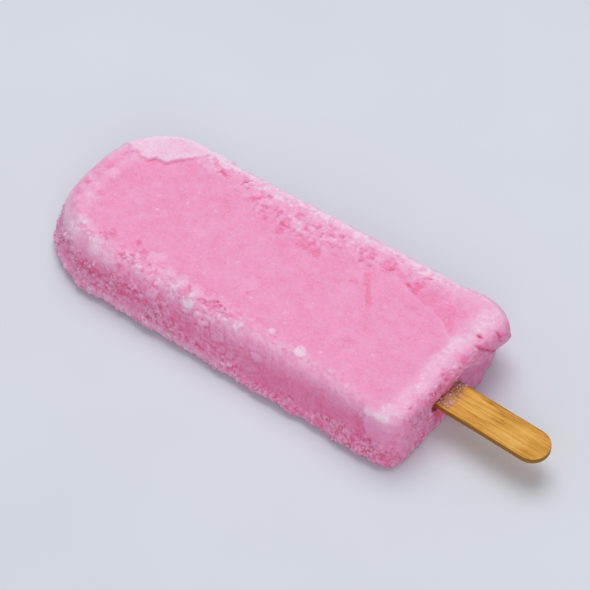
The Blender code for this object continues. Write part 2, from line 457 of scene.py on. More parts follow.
softForms = (  # place, reach and height of the large lumps and hollows, as in the solids
    ((1.0, 19.5, 12.5), 7.0, 0.6),
    ((-9.0, 23.0, 14.0), 9.0, 1.0),
    ((0.5, 15.0, 5.5), 9.5, -1.5),
    ((-30.0, -25.5, 11.0), 14.0, -0.6),
    ((-55.0, -25.5, 11.0), 15.0, -0.45),
    ((-74.0, -21.0, 17.0), 7.0, 0.7),
    ((-84.0, -19.0, 17.0), 5.0, -0.8),
    ((-64.0, 12.0, 18.0), 5.0, -0.8),
    ((-47.0, 15.0, 18.0), 6.0, -0.7),
    ((-18.0, 15.5, 18.0), 8.0, -0.6),
    ((-108.0, 18.0, 17.0), 11.0, 0.7),
    ((0.5, 21.5, 9.6), 2.4, 0.8),
)


def mouldedPoint(corner):
    size, wide, thick = bar["length"], bar["halfWidth"], bar["thickness"]
    spread = [corner[i] * (1 + bar["crowding"] * (1 - corner[i] ** 2)) for i in range(2)]
    buttRadius = bar["buttRadius"]["near" if corner.y < 0 else "far"]
    x, y, inset, out = roundedPlan(
        spread[0] * size / 2, spread[1] * wide, size / 2, wide, bar["tipRadius"], buttRadius
    )
    z = (corner.z + 1) / 2 * thick
    edge = bar["topEdge"]
    share, start, end = bar["sharper"]
    nearRadius = edge["near"] * (1 - share * ramp(start, end, x))
    topRadius = (nearRadius if out.y < 0 else edge["far"]) * out.y ** 2
    topRadius += edge["tip" if out.x < 0 else "butt"] * out.x ** 2
    newInset, z = roundedEdge(inset, z, thick, topRadius, thick)
    flatter = bar["baseEdge"] / bar["baseReach"]
    baseEdge = bar["baseEdge"] * (1 - (1 - bar["baseAtButt"]) * max(out.x, 0) ** 2)
    newInset, z = roundedEdge(newInset * flatter, z, 0.0, baseEdge, thick)
    newInset /= flatter
    x -= out.x * (newInset - inset)
    y -= out.y * (newInset - inset)
    along = x / size + 0.5
    bow = 1 - (y / wide) ** 2
    lean = bar["draft"] * z / thick
    tipShare = ramp(bar["endShare"], 0.0, along)
    buttShare = ramp(bar["endShare"], 1.0, along)
    movedX = x - size / 2 + (lean - bar["tipBulge"] * bow) * tipShare
    movedX += (bar["buttSkew"] * y / wide - bar["buttHollow"] * bow) * buttShare
    movedY = y * (1 - (lean + bar["tipTaper"] * (1 - along)) / wide)
    acrossSpan, alongSpan, upSpan = bar["cornerSpans"]
    movedY -= bar["cornerCut"] * ramp(*acrossSpan, movedY) * ramp(*alongSpan, movedX) * ramp(*upSpan, z)
    acrossSpan, alongSpan, upSpan = bar["backSpans"]
    movedX -= bar["cornerBack"] * ramp(*acrossSpan, y) * ramp(*alongSpan, movedX) * ramp(*upSpan, z)
    return Vector((movedX, movedY, z)), (x, y, newInset, out.x, out.y)


marks = {  # lines and patches on the ice, in plan: the lines as points, the patches as x, y, reach and height
    "frostPlate": (
        (-126.0, 12.5), (-114.7, 10.9), (-113.4, 9.6), (-111.0, 10.2), (-109.6, 11.8), (-106.5, 11.7),
        (-103.1, 15.5), (-98.6, 20.6), (-90.0, 23.0),
    ),
    "scratch": ((-38.4, 12.0), (-35.2, 7.9), (-30.4, 0.9)),
    "farLine": (
        (-46.0, 15.0), (-41.5, 16.0), (-34.3, 15.9), (-24.4, 13.3), (-16.3, 11.5), (-12.5, 9.5),
        (-7.9, 5.8),
    ),
    "outerGroove": ((-117.9, -18.5), (-120.8, -8.3), (-118.8, 2.5), (-117.8, 9.8)),
    "tipRidge": ((-114.6, -15.5), (-116.8, -3.9), (-114.5, 8.8)),
    "innerGroove": ((-113.8, -6.9), (-113.2, -1.4), (-111.9, 5.5)),
    "buttRidge": (
        (-8.0, -23.4), (-6.3, -20.5), (-6.0, -16.0), (-6.2, -8.2), (-6.2, -1.2), (-6.3, 3.5), (-5.3, 7.7),
        (-4.7, 13.0), (-4.1, 19.0),
    ),
    "nearRidge": (
        (-113.0, -18.0), (-108.0, -20.4), (-92.0, -21.3), (-60.0, -21.5), (-36.0, -21.2), (-24.5, -21.4),
        (-20.5, -22.8), (-17.5, -24.8), (-14.6, -25.0), (-10.0, -24.6),
    ),
    "hollows": (
        (-90.0, 18.9, 1.6, 0.3), (-83.0, 19.3, 1.4, 0.3), (-72.2, 14.4, 2.4, 0.35),
        (-66.7, 10.8, 1.2, 0.4), (-66.7, 14.1, 1.4, 0.3), (-58.5, 11.4, 2.4, 0.3), (-55.0, 11.0, 2.4, 0.3),
        (-56.7, 18.9, 1.6, 0.4), (-50.7, 17.0, 2.6, 0.3), (-42.3, 17.0, 2.4, 0.5), (-35.2, 17.2, 1.8, 0.3),
        (-24.9, 15.8, 2.0, 0.25), (-40.1, 8.3, 1.2, 0.1), (-91.2, -17.3, 1.4, 0.3),
        (-94.8, -14.9, 0.7, 0.3), (-95.1, -21.0, 1.4, 0.3), (-103.0, -17.0, 1.8, 0.15),
        (-65.4, -21.2, 2.5, 0.35), (-73.6, -20.6, 1.2, 0.25), (-60.4, -11.5, 0.8, 0.12),
    ),
    "patches": (
        (-99.9, -23.0, 2.8, 0.14), (-88.5, -16.4, 1.9, 0.16), (-86.5, -15.2, 1.3, 0.14),
        (-81.8, -18.0, 2.1, 0.18), (-76.9, -18.7, 2.6, 0.2), (-83.3, -2.2, 1.7, 0.02),
        (-100.9, 1.7, 0.6, 0.1), (-104.6, -23.0, 2.2, 0.14), (-71.8, -21.8, 1.9, 0.2),
        # the last two patches on the next line, at the near corner of the butt, are painted highlights
        (-68.8, -22.6, 1.1, 0.14), (-64.6, -22.9, 1.4, 0.1), (-11.4, -25.2, 1.7, 0.03),
        (-8.3, -24.0, 1.7, 0.03), (-64.0, -22.0, 2.0, 0.02), (-56.3, -22.7, 2.4, 0.02),
        (-61.8, -9.1, 2.6, 0.02), (-48.2, -11.4, 0.9, 0.05), (-44.8, -5.6, 1.0, 0.05),
        (-36.3, -3.4, 0.8, 0.05),
    ),
    "dots": (
        (-37.7, -19.4, 1.75, 0.12), (-47.5, -18.3, 1.05, 0.1), (-46.4, -14.1, 0.45, 0.08),
        (-33.2, -16.6, 0.4, 0.06), (-58.6, -12.4, 0.4, 0.06), (-84.6, 6.2, 0.45, 0.06),
        (-92.6, 4.1, 0.4, 0.06), (-97.8, -2.6, 0.4, 0.06), (-76.2, 2.4, 0.35, 0.06),
        (-68.8, -4.8, 0.4, 0.06), (-21.8, -9.4, 0.4, 0.06),
    ),
}


def addPatches(points, facing, patches, ragged):  # 1 on ragged round patches, with their own heights
    share = np.zeros(len(points))
    height = np.zeros(len(points))
    for spotX, spotY, reach, rise in patches:
        away = np.hypot(points[:, 0] - spotX, points[:, 1] - spotY) / reach + ragged
        spot = ramp(*markLooks["patchEdge"], away) * facing
        share = np.maximum(share, spot)
        height = np.maximum(height, spot * rise)
    return share, height


facings = {  # where each part of the bar begins and is full
    "top": (0.35, 0.85), "level": (0.45, 0.9),  # by how far the surface faces up
    "far": (0.1, 0.6), "near": (-0.3, -0.75),  # by the place across the bar
    "butt": (7.0, 4.5),  # by the distance from the edge
    "outward": (0.2, 0.8),  # by the direction out of the bar
}

noises = (  # name, kind, size and seed
    ("soft9", lumps, 9.0, 0), ("soft3", lumps, 3.0, 2), ("soft1", lumps, 1.5, 3),
    ("rough4", crags, 4.5, 1), ("rough2", crags, 2.2, 2), ("rough1", crags, 1.1, 3),
)

frostKinds = {  # size, seed, how far it is warped, and where it begins and is full
    "plates": (2.9, 1, 0.9),
    "crumbs": (1.6, 5, 0.5), "crumbEdge": (0.02, 0.24), "crumbPick": (0.30, 0.60),
    "worms": (1.9, 8, 0.12), "wormEdge": (0.17, 0.03),
    "base": {"all": 0.36, "soft9": 0.03, "rough1": 0.04},
}


def blend(s, shares, **own):  # noises and a function's own patterns, each by its share
    return sum(share * (own[name] if name in own else getattr(s, name)) for name, share in shares.items())


def dress(s, where, look, **own):  # raises the ice and frosts it
    s.height += where * blend(s, look["relief"], **own)
    s.frost += where * blend(s, look["frost"], **own)


def between(rise, fall, values):
    return ramp(*rise, values) * ramp(*fall, values)


def warped(s, reach, *names):  # the points, pushed about by three noises
    return s.points + reach * np.stack([getattr(s, name) for name in names], axis=1)


# which part of the bar each point lies on, and the noises that roughen it
def surfaceFacts(points, normals, plan):
    s = SimpleNamespace(points=points, all=1.0)
    s.height, s.grain, s.hole, s.crumbs = np.zeros((4, len(points)))
    s.x, s.y, s.z = points.T
    s.planX, s.planY, s.inset, outX, outY = plan.T
    s.up = normals[:, 2]
    s.top = ramp(*facings["top"], s.up)
    s.wall = 1 - ramp(*facings["level"], np.abs(s.up))
    s.far = ramp(*facings["far"], s.planY / bar["halfWidth"])
    s.near = ramp(*facings["near"], s.planY / bar["halfWidth"])
    s.butt = np.clip(outX, 0, 1) ** 2 * ramp(*facings["butt"], s.inset)
    s.farOut = ramp(*facings["outward"], outY)
    s.tipOut = ramp(*facings["outward"], -outX)
    s.side = s.wall * (1 - s.butt)
    for name, kind, size, seed in noises:
        setattr(s, name, kind(points, size, seed))
    size, seed, warp = frostKinds["plates"]
    s.plateGap, s.platePick = cells(warped(s, warp, "soft3", "rough2", "soft1"), size, seed)
    size, seed, warp = frostKinds["crumbs"]
    gap, pick = cells(warped(s, warp, "rough1", "soft1", "rough2"), size, seed)
    s.crumb = ramp(*frostKinds["crumbEdge"], gap) * ramp(*frostKinds["crumbPick"], pick)
    size, seed, warp = frostKinds["worms"]
    s.worm = ramp(*frostKinds["wormEdge"], np.abs(lumps(points, size, seed) + warp * s.rough1))
    s.frost = blend(s, frostKinds["base"])
    return s


panel = {
    "depth": 0.8,
    "near": {"rim": 4.6, "step": 3.6, "broken": 0.2},
    "far": {"rim": 7.5, "step": 3.4, "broken": 1.1},
    "tip": {"rim": 9.5, "step": 3.0, "broken": 0.4},
    "butt": {"rim": 8.5, "step": 3.0, "broken": 0.3},
    "farExtra": {"rise": 6.0, "x": -62.0, "reach": 17.0},  # the far rim is wider here
    "ragged": {"soft9": 1.6, "rough4": 1.8, "rough2": 1.0},
    "rimFrost": 0.08,
    "cloud": 0.07,
}


def sinkPanel(s):  # the moulded panel, sunk inside its rim: soft on the near side, broken on the far side
    extra = panel["farExtra"]
    wider = extra["rise"] * np.exp(-((s.x - extra["x"]) / extra["reach"]) ** 2)
    halfLength = bar["length"] / 2
    ragged = blend(s, panel["ragged"])
    share = np.ones(len(s.x))
    for name, distance in (
        ("near", s.inset), ("far", bar["halfWidth"] - s.planY - wider),
        ("tip", halfLength + s.planX), ("butt", halfLength - s.planX),
    ):
        side = panel[name]
        edge = side["rim"] + side["broken"] * ragged
        share *= ramp(edge - side["step"], edge + side["step"], distance)
    s.share = share * (1 - s.plate) * s.top
    s.onRim = (1 - share) * s.top
    s.height -= panel["depth"] * s.share
    s.frost += panel["rimFrost"] * s.onRim + panel["cloud"] * s.rough4 * s.share


plate = {
    "wander": {"soft1": 0.25, "rough1": 0.15},
    "ragged": {"rough4": 1.6, "rough2": 1.2},
    "edge": (-0.2, 0.2),
    "endX": (-90.5, -92.0), "endY": (6.0, 9.0), "endZ": (7.0, 11.5),
    "crack": (0.30, 0.08), "crackX": (-116.5, -98.0),
    "smoothing": 0.8, "rise": 0.10, "crackDepth": 0.12,
    "frost": {"all": 0.86, "soft3": 0.08, "rough1": 0.04}, "crackFrost": 0.24,
}


def frostPlate(s):  # a smooth pale plate at the far corner of the tip, with a crack along its edge
    away, side, _ = lineDistance(s.points, marks["frostPlate"])
    away = away * side + blend(s, plate["wander"])
    ragged = blend(s, plate["ragged"])
    onFar = s.y > plate["endY"][0]
    s.plate = ramp(*plate["edge"], away) * ramp(*plate["endX"], s.x + ragged * s.wall) * onFar
    s.plate *= ramp(*plate["endZ"], s.z + 1.5 * ragged) * ramp(*plate["endY"], s.y + ragged * s.wall)
    first, last = plate["crackX"]
    s.crack = ramp(*plate["crack"], np.abs(away)) * (s.x < last) * (s.x > first) * onFar * s.top


def coatPlate(s):
    calm = 1 - s.plate
    s.height = s.height * (1 - plate["smoothing"] * s.plate)
    s.height += plate["rise"] * s.plate * s.top - plate["crackDepth"] * s.crack
    s.frost = s.frost * calm + s.plate * blend(s, plate["frost"]) - plate["crackFrost"] * s.crack
    s.grain *= calm
    s.crumbs *= calm


swells = {
    "far": 0.8, "tip": 0.7, "plate": 1.3, "atButt": 0.35, "fades": (-6.0, -30.0),
    "rises": (-0.1, 0.45), "falls": (0.99, 0.85),
    "tipFrost": 0.6, "frost": {"all": 0.16, "rough2": 0.12},
}


def swellEdges(s):  # frost that has grown over the far edge and round the tip
    edge = between(swells["rises"], swells["falls"], s.up) * (1 - s.butt)
    grown = np.maximum(swells["far"] * s.farOut, swells["tip"] * s.tipOut)
    grown = np.maximum(grown, swells["plate"] * s.plate)
    s.height += edge * grown * (swells["atButt"] + (1 - swells["atButt"]) * ramp(*swells["fades"], s.x))
    s.frost += edge * np.maximum(s.farOut, swells["tipFrost"] * s.tipOut) * blend(s, swells["frost"])


farRim = {
    "begins": (-11.0, -22.0), "outer": (6.5, 2.0),
    "gap": (0.10, 0.45), "gapShares": {"rough2": 1.0, "rough4": 0.3, "outer": -0.15},
    "relief": {"rough4": 0.12, "crumb": 0.16, "rough1": 0.10, "gap": -0.18},
    "frost": {"all": 0.07, "outer": 0.22, "crumb": 0.30, "rough1": 0.12, "gap": -0.32},
    "smoothFrost": 0.16,
    "crumbs": 0.4, "clumps": (0.0, 0.3),
}


def crumbleFarRim(s):  # pale crumbs of frost with ragged gaps that show the pink below
    begins, ends = farRim["begins"]
    crumble = s.onRim * s.far * (1 - s.plate) * (1 - s.butt) * ramp(begins, ends, s.x)
    s.frost += farRim["smoothFrost"] * s.onRim * s.far * ramp(ends, begins, s.x)
    outer = ramp(*farRim["outer"], s.inset)
    gap = ramp(*farRim["gap"], blend(s, farRim["gapShares"], outer=outer))
    dress(s, crumble, farRim, outer=outer, gap=gap)
    s.crumbs += farRim["crumbs"] * crumble * ramp(*farRim["clumps"], s.rough4)


markLooks = {
    "patchEdge": (1.06, 0.86), "patchUp": (0.2, 0.6),
    "ragged": {"soft1": 0.5, "rough1": 0.6}, "dotRagged": 0.25,
    "hollowFrost": -0.20, "patchFrost": (0.10, 0.9), "dotFrost": 0.42,
    "farLine": {"edge": (0.55, 0.15), "fades": (0.0, 0.15), "relief": {"all": 0.03}, "frost": {"all": 0.08}},
    "besideLine": {"edge": (0.0, 0.5), "reach": (7.5, 5.5), "x": (-46, -8), "relief": {"all": -0.04},
                   "frost": {"all": -0.12}},
    "scratch": {"edge": (1.2, 0.4), "fades": (1.0, 0.75), "wander": {"soft1": 0.3, "rough1": 0.2},
                "relief": {"all": -0.10}, "frost": {"all": -0.16}},
}


def addMarks(s):  # ragged hollows, and pale patches that show one by one (two of them are painted highlights), the scratch and the thin far line
    ragged = blend(s, markLooks["ragged"])
    spot, drop = addPatches(s.points, s.top * (1 - 0.6 * s.crumb * s.far), marks["hollows"], ragged)
    s.height -= drop
    s.frost += markLooks["hollowFrost"] * spot
    spot, rise = addPatches(s.points, ramp(*markLooks["patchUp"], s.up), marks["patches"], ragged)
    s.height += rise
    s.frost += spot * (markLooks["patchFrost"][0] + markLooks["patchFrost"][1] * rise)
    spot, rise = addPatches(s.points, s.top, marks["dots"], markLooks["dotRagged"] * ragged)
    s.height += rise
    s.frost += markLooks["dotFrost"] * spot
    look = markLooks["farLine"]
    away, side, along = lineDistance(s.points, marks["farLine"])
    dress(s, ramp(*look["edge"], away) * s.top * ramp(*look["fades"], along), look)
    look = markLooks["besideLine"]
    beside = ramp(*look["edge"], away * side) * ramp(*look["reach"], away + 0.5 * s.soft3) * s.share
    dress(s, beside * (s.x > look["x"][0]) * (s.x < look["x"][1]), look)
    look = markLooks["scratch"]
    away, _, along = lineDistance(s.points, marks["scratch"])
    dress(s, ramp(*look["edge"], away + blend(s, look["wander"])) * s.top * ramp(*look["fades"], along), look)


tipLooks = {
    "begins": (-0.6, -0.85),
    "grooves": (  # line, relief, reach and frost level
        ("outerGroove", -0.16, 1.6, -0.16), ("tipRidge", 0.12, 2.6, 0.06), ("innerGroove", -0.16, 1.6, -0.14),
    ),
    "wander": {"soft3": 0.9, "rough2": 1.2},
    "uneven": {"all": 0.8, "rough4": 1.2},
    "frost": {"all": 0.03, "rough4": 0.16, "rough2": 0.14},
    "relief": {"rough4": 0.08, "rough2": 0.08},
}


def groovesAtTip(s):
    for line, depth, reach, tone in tipLooks["grooves"]:
        away, _, _ = lineDistance(s.points, marks[line])
        band = ramp(reach, 0.2, away + blend(s, tipLooks["wander"])) * s.top
        s.height += depth * band
        s.frost += tone * band * blend(s, tipLooks["uneven"])
    dress(s, ramp(*tipLooks["begins"], 2 * s.planX / bar["length"]) * s.onRim, tipLooks)


ridges = {  # pale frost along the butt's edge and the near edge
    "buttRidge": {"reach": (4.4, 0.8), "up": (0.3, 0.7), "wander": {"soft3": 1.2, "rough2": 0.8},
                  "relief": {"all": 0.12}, "frost": {"all": 0.24, "rough4": 0.2, "rough1": 0.12}},
    "nearRidge": {"reach": (4.4, 0.6), "up": (0.15, 0.6), "wander": {"rough4": 1.6, "rough1": 0.6},
                  "relief": {"torn": 0.10}, "frost": {"all": 0.08, "torn": 0.20, "rough1": 0.20}},
    "torn": (0.05, 0.45),
}


def paleRidges(s):
    torn = ramp(*ridges["torn"], s.rough4 + 0.4 * s.rough1)
    for name in ("buttRidge", "nearRidge"):
        look = ridges[name]
        away, _, _ = lineDistance(s.points, marks[name])
        band = ramp(*look["reach"], away + blend(s, look["wander"])) * ramp(*look["up"], s.up)
        dress(s, band, look, torn=torn)


flakes = {
    "x": ((-106, -94), (-50, -62)), "y": (-14.5, -20.5), "z": (9, 12.5),
    "step": (0.0, 0.14), "seam": (0.12, 0.02), "seamPick": (0.25, 0.5), "liftPick": (0.42, 0.58),
    "relief": {"lifted": 0.20, "seam": -0.13},
    "frost": {"all": -0.03, "lifted": 0.18, "seam": -0.16, "rough1": 0.14},
}

scales = {
    "x": ((-74, -71), (-45, -48)), "z": ((5.0, 7.5), (14.5, 12.8)),
    "size": 3.9, "seed": 9, "squash": (0.8, 1.0, 1.1), "warp": 0.3, "patchy": (-0.25, 0.15),
    "step": (0.0, 0.16), "edge": ((0.04, 0.10), (0.30, 0.12)), "seam": (0.07, 0.01),
    "relief": {"all": -0.10, "step": 0.30},
    "frost": {"edge": 0.20, "seam": -0.12},
}


def flakesOnNearRidge(s):  # thin plates of ice that lift off the ridge, and scales on the wall below them
    flaky = between(*flakes["x"], s.x) * ramp(*flakes["y"], s.y) * ramp(*flakes["z"], s.z)
    seam = ramp(*flakes["seam"], s.plateGap) * ramp(*flakes["seamPick"], s.platePick)
    lifted = ramp(*flakes["liftPick"], s.platePick) * ramp(*flakes["step"], s.plateGap)
    dress(s, flaky, flakes, lifted=lifted, seam=seam)
    s.scales = between(*scales["x"], s.x) * between(*scales["z"], s.z) * s.near
    push = scales["warp"] * np.stack([s.soft1, s.soft3, s.rough1], axis=1)
    gap, _ = cells(s.points * scales["squash"] + push, scales["size"], scales["seed"])
    patchy = s.scales * ramp(*scales["patchy"], s.soft9 + 0.5 * s.soft3)
    step, seam = ramp(*scales["step"], gap), ramp(*scales["seam"], gap)
    dress(s, patchy, scales, step=step, seam=seam, edge=between(*scales["edge"], gap))


crust = {
    "top": (  # how high it reaches on the near wall, as x and z
        (-122.0, 11.4), (-92.0, 11.2), (-78.0, 10.8), (-65.0, 9.2), (-58.0, 6.8), (-52.0, 5.2), (-42.0, 4.6),
        (-33.0, 6.0), (-23.0, 6.6), (-14.0, 7.2), (0.0, 7.0),
    ),
    "topElsewhere": 8.5, "wander": {"rough4": 1.2, "rough2": 1.4, "rough1": 1.4}, "edge": 0.8,
    "gap": (0.05, 0.4), "clump": (-0.30, 0.25),
    "crumbs": {"all": 0.35, "clump": 0.65},  # how many there are off the clumps, and more on them
    "worms": {"all": 0.3, "clump": 0.7},
    "relief": {"all": 0.34, "rough4": 0.26, "rough1": 0.12},
    "grit": {"crumb": 0.28, "worm": 0.36, "gap": -0.36},
    "frost": {"all": -0.08, "clump": 0.10, "crumb": 0.24, "worm": 0.36, "rough1": 0.16, "gap": -0.20},
    "paintedLowShade": -0.12,  # painted shade: darker lower down, towards the butt
    "shadedFrost": -0.12,  # in a band near the tip
    "tipFrost": 0.36,
}

glaze = {  # smooth wet ice on the near wall, above the crust
    "z": (15.5, 10.0), "wander": {"rough4": 0.8, "rough1": 0.4}, "atTip": 0.35, "fades": (-92.0, -68.0),
    "relief": {"all": -0.12}, "frost": {"all": -0.20, "soft3": -0.06},
}

foot = {
    "z": ((0.6, 2.2), (5.5, 3.0)), "tipFrom": (-50.0, -68.0),
    "relief": {"all": 0.45, "crumb": 0.25, "rough2": 0.30},
    "frost": {"all": 0.08, "worm": 0.10, "atTip": 0.22},
}

cornerCap = {  # the thicker frost round the near corner of the butt
    "edge": {"all": -13.2, "rough2": 1.0, "soft1": 0.8, "below": 0.25}, "level": 11.0, "z": (7.1, 7.8),
    "relief": {"all": 0.42}, "frost": {"all": 0.15}, "besideFrost": -0.10,
}


def crustOnWalls(s):
    top = np.interp(s.x, *np.array(crust["top"]).T) * s.near + crust["topElsewhere"] * (1 - s.near)
    level = top + blend(s, crust["wander"])
    share = ramp(level + crust["edge"], level - crust["edge"], s.z) * s.side * (1 - 0.8 * s.scales)
    gap = ramp(*crust["gap"], s.rough2 + 0.4 * s.rough1) * ramp(1.0, 3.5, s.z)
    clump = ramp(*crust["clump"], s.rough4 + 0.5 * s.soft3)
    clumped = blend(s, crust["crumbs"], clump=clump)
    grit = {"crumb": s.crumb * clumped, "worm": s.worm * blend(s, crust["worms"], clump=clump), "gap": gap}
    band = ramp(5.0, 8.0, s.z)
    dress(s, share, crust, clump=clump, **grit)
    s.height += share * (0.6 + 0.5 * band) * blend(s, crust["grit"], **grit)
    # painted shade in the gaps of the crust
    s.hole += share * (0.06 + 0.12 * band) * ramp(0.15, 0.5, s.rough2 + 0.5 * s.rough1) * (1 - grit["worm"])
    # painted shade, darker low on the wall
    s.frost += crust["paintedLowShade"] * share * ramp(9.0, 3.0, s.z) * ramp(-70.0, -50.0, s.x)
    shaded = share * ramp(-84, -92, s.x) * ramp(6.0, 8.0, s.z) * ramp(12.5, 10.5, s.z + 1.2 * s.rough2)
    s.frost += crust["shadedFrost"] * shaded
    glazed = (1 - share) * s.side * ramp(*glaze["z"], s.z + blend(s, glaze["wander"]))
    glazed *= glaze["atTip"] + (1 - glaze["atTip"]) * ramp(*glaze["fades"], s.x)
    dress(s, glazed, glaze)
    low = between(*foot["z"], s.z) * s.wall * (1 - s.butt)
    atTip = ramp(*foot["tipFrom"], s.x)
    dress(s, low, foot, atTip=atTip)
    s.grain += share * 0.6 * clump + 0.3 * low
    s.crumbs += share * clumped * (1 - 0.6 * low * atTip)
    s.frost += crust["tipFrost"] * s.tipOut * s.wall * ramp(5.0, 12.0, s.z + 1.5 * s.rough2)
    edge = blend(s, cornerCap["edge"], below=cornerCap["level"] - s.z)
    cap = ramp(edge - 0.2, edge + 0.2, s.x) * ramp(*cornerCap["z"], s.z + 2.0 * s.rough2) * s.side * s.near
    dress(s, cap, cornerCap)
    s.frost += cornerCap["besideFrost"] * ramp(edge - 5.0, edge - 0.6, s.x) * (1 - cap) * glazed
    s.grain *= 1 - cap
    s.crumbs *= 1 - cap


endForms = {  # across the butt end, as y and z
    "lip": ((7.8, 17.9), (14.5, 10.6)), "lipLowest": 9.0,  # the far lobe overhangs below this line
    "scoopTop": ((2.0, 15.3), (14.0, 6.5)),  # the smooth hollow lies below this line
    "scoopAt": (7.5, 5.5, 9.5),  # its middle and reach
    "gap": (0.10, 0.4),
    "rest": {"relief": {"rough4": 0.30, "rough2": 0.35, "rough1": 0.15, "gap": -0.34, "crumb": 0.24},
             "frost": {"all": -0.02, "rough2": 0.16, "rough1": 0.12, "gap": -0.16, "crumb": 0.18}},
    "lobe": {"relief": {"all": 0.4, "rough2": 0.25, "rough1": 0.15},
             "frost": {"shaded": -0.07, "shadedRough": -0.3}},
    "scoop": {"relief": {"all": -1.6}, "frost": {"all": -0.12, "rough1": 0.16}},
    # the crevice under the lobe: cut in, and darkened by painted shade
    "crevice": {"relief": {"all": -0.7}, "frost": {"all": -0.34}},
    "crack": ((15.4, 17.3), (16.1, 13.9), 0.28),  # a thin crack in the lobe, from, to and half its width
    "pits": ((-2.3, 11.2, 17.85, 0.62, 0.9), (-2.2, 1.8, 12.9, 0.9, 0.6), (-2.4, 0.3, 11.3, 0.9, 1.0),
             (-2.4, 3.0, 17.3, 1.6, 0.0), (-2.3, -3.8, 17.2, 1.9, 0.05), (-2.0, -7.5, 16.4, 1.1, 0.1),
             (-1.8, -9.4, 15.4, 0.8, 0.15), (-2.6, -6.3, 11.5, 0.6, 0.9), (-2.2, -8.9, 9.4, 1.6, 1.0),
             (-3.4, 3.4, 9.6, 1.2, 0.9), (-2.0, 7.1, 15.8, 0.7, 0.2), (-2.2, 4.6, 14.6, 0.8, 0.2),
             (-1.0, -21.9, 13.4, 0.6, 0.5), (-1.2, -23.6, 10.0, 0.9, 0.2), (-1.0, -14.2, 3.2, 1.4, 0.2),
             (-0.6, 18.5, 14.5, 0.5, 0.1), (-0.6, 12.6, 15.0, 0.6, 0.1)),  # x, y, z, size and darkness of their painted shade
    "pitDepth": 0.8,
    # beside the stick the ice is cut back and darkened by painted shade
    "beside": {"relief": {"all": -0.4}, "frost": {"all": -0.26}},
    "stick": (-3.6, 9.5, 5.0, 1.0),  # where it comes out, as y and z, and half its width and thickness
}


def heightOnLine(line, y):  # the z of a line across the end, at each y
    (startY, startZ), (endY, endZ) = line
    return startZ + (endZ - startZ) / (endY - startY) * (y - startY)


def breakButtEnd(s):  # crumbs, a lobe at the far corner that overhangs a smooth scoop, and pits, with painted shade in the crevice under the lobe, in the crack and in the pits
    face = s.butt * ramp(0.98, 0.75, s.up + 0.15 * s.rough2)
    above = s.z - np.maximum(heightOnLine(endForms["lip"], s.y), endForms["lipLowest"]) + 0.4 * s.rough2
    alongLip = ramp(7.0, 9.0, s.y)
    lobe = s.butt * alongLip * ramp(-0.4, 0.4, above)
    middleY, middleZ, reach = endForms["scoopAt"]
    bowl = np.clip(1 - ((s.y - middleY) ** 2 + (s.z - middleZ) ** 2) / reach ** 2, 0, 1) ** 0.6
    overScoop = s.z - heightOnLine(endForms["scoopTop"], s.y) + 0.3 * s.rough2
    scoop = face * bowl * ramp(0.5, -0.5, overScoop) * ramp(0.0, 3.5, s.z)
    rim = face * np.exp(-((overScoop - 0.3) / 0.45) ** 2) * ramp(11.0, 7.0, s.y) * ramp(0.5, 2.5, s.y)
    crevice = face * alongLip * np.exp(-(above / 0.5) ** 2)
    rest = face * (1 - scoop) * (1 - lobe)
    dress(s, rest, endForms["rest"], gap=ramp(*endForms["gap"], s.rough2 + 0.3 * s.rough1))
    shaded = ramp(0.97, 0.80, s.up + 0.1 * s.rough2)
    dress(s, lobe, endForms["lobe"], shaded=shaded, shadedRough=shaded * s.rough1)
    dress(s, scoop, endForms["scoop"])
    dress(s, crevice, endForms["crevice"])
    s.frost += 0.30 * rim
    s.frost -= 0.10 * s.butt * alongLip * ramp(17.5, 14.0, s.y) * np.exp(-((above - 1.0) / 1.3) ** 2)
    # painted shade in the crevice under the lobe
    s.hole += 0.5 * crevice * ramp(8.5, 10.5, s.y) * ramp(16.0, 13.0, s.y)
    (fromY, fromZ), (toY, toZ), halfWidth = endForms["crack"]
    alongCrack = ramp(fromZ + 0.4, fromZ - 0.4, s.z) * ramp(toZ - 0.4, toZ + 0.4, s.z)
    crackY = fromY + (toY - fromY) * (s.z - fromZ) / (toZ - fromZ) + 0.25 * s.rough1
    crack = s.butt * alongCrack * ramp(2 * halfWidth, 0.4 * halfWidth, np.abs(s.y - crackY))
    s.height -= 0.5 * crack
    # painted shade in the crack
    s.hole += 0.45 * crack
    for pitX, pitY, pitZ, size, dark in endForms["pits"]:
        away = np.sqrt((0.6 * (s.x - pitX)) ** 2 + (s.y - pitY) ** 2 + (s.z - pitZ) ** 2) / size
        pit = s.butt * ramp(1.2, 0.4, away + 0.3 * s.rough1)
        s.height -= endForms["pitDepth"] * pit * (0.4 + 0.6 * dark)
        # painted shade in the pits
        s.frost -= (0.14 + 0.3 * dark) * pit
        s.hole += dark * pit
    s.crumbs += rest * (0.25 + 0.45 * ramp(0.0, 0.4, s.rough4))
    s.grain += 0.05 * rest
    hollowRoundStick(s, face)


def hollowRoundStick(s, face):  # the ice lies back beside the stick and is darkened there by painted shade, with painted shade in the gap round it and a painted shadow below it
    stickY, stickZ, halfWidth, halfThick = endForms["stick"]
    across = s.y - stickY
    beside = ramp(7.4, 5.4, np.abs(across)) * ramp(14.0, 11.0, s.z) * ramp(6.0, 8.2, s.z) * face
    dress(s, beside, endForms["beside"])
    above = np.maximum(np.abs(s.z - stickZ) - halfThick, 0)
    away = np.hypot(above, np.maximum(np.abs(across) - halfWidth, 0))
    # painted shade in the gap round the stick
    s.hole += 0.9 * face * ramp(1.1, 0.3, away + 0.5 * s.rough1 + 0.3 * s.soft1)
    under = ramp(6.2, 5.0, np.abs(across + 0.6)) * ramp(8.8, 8.0, s.z) * ramp(1.5, 4.5, s.z)
    # painted shadow of the stick on the ice below it
    s.hole += 0.5 * face * under
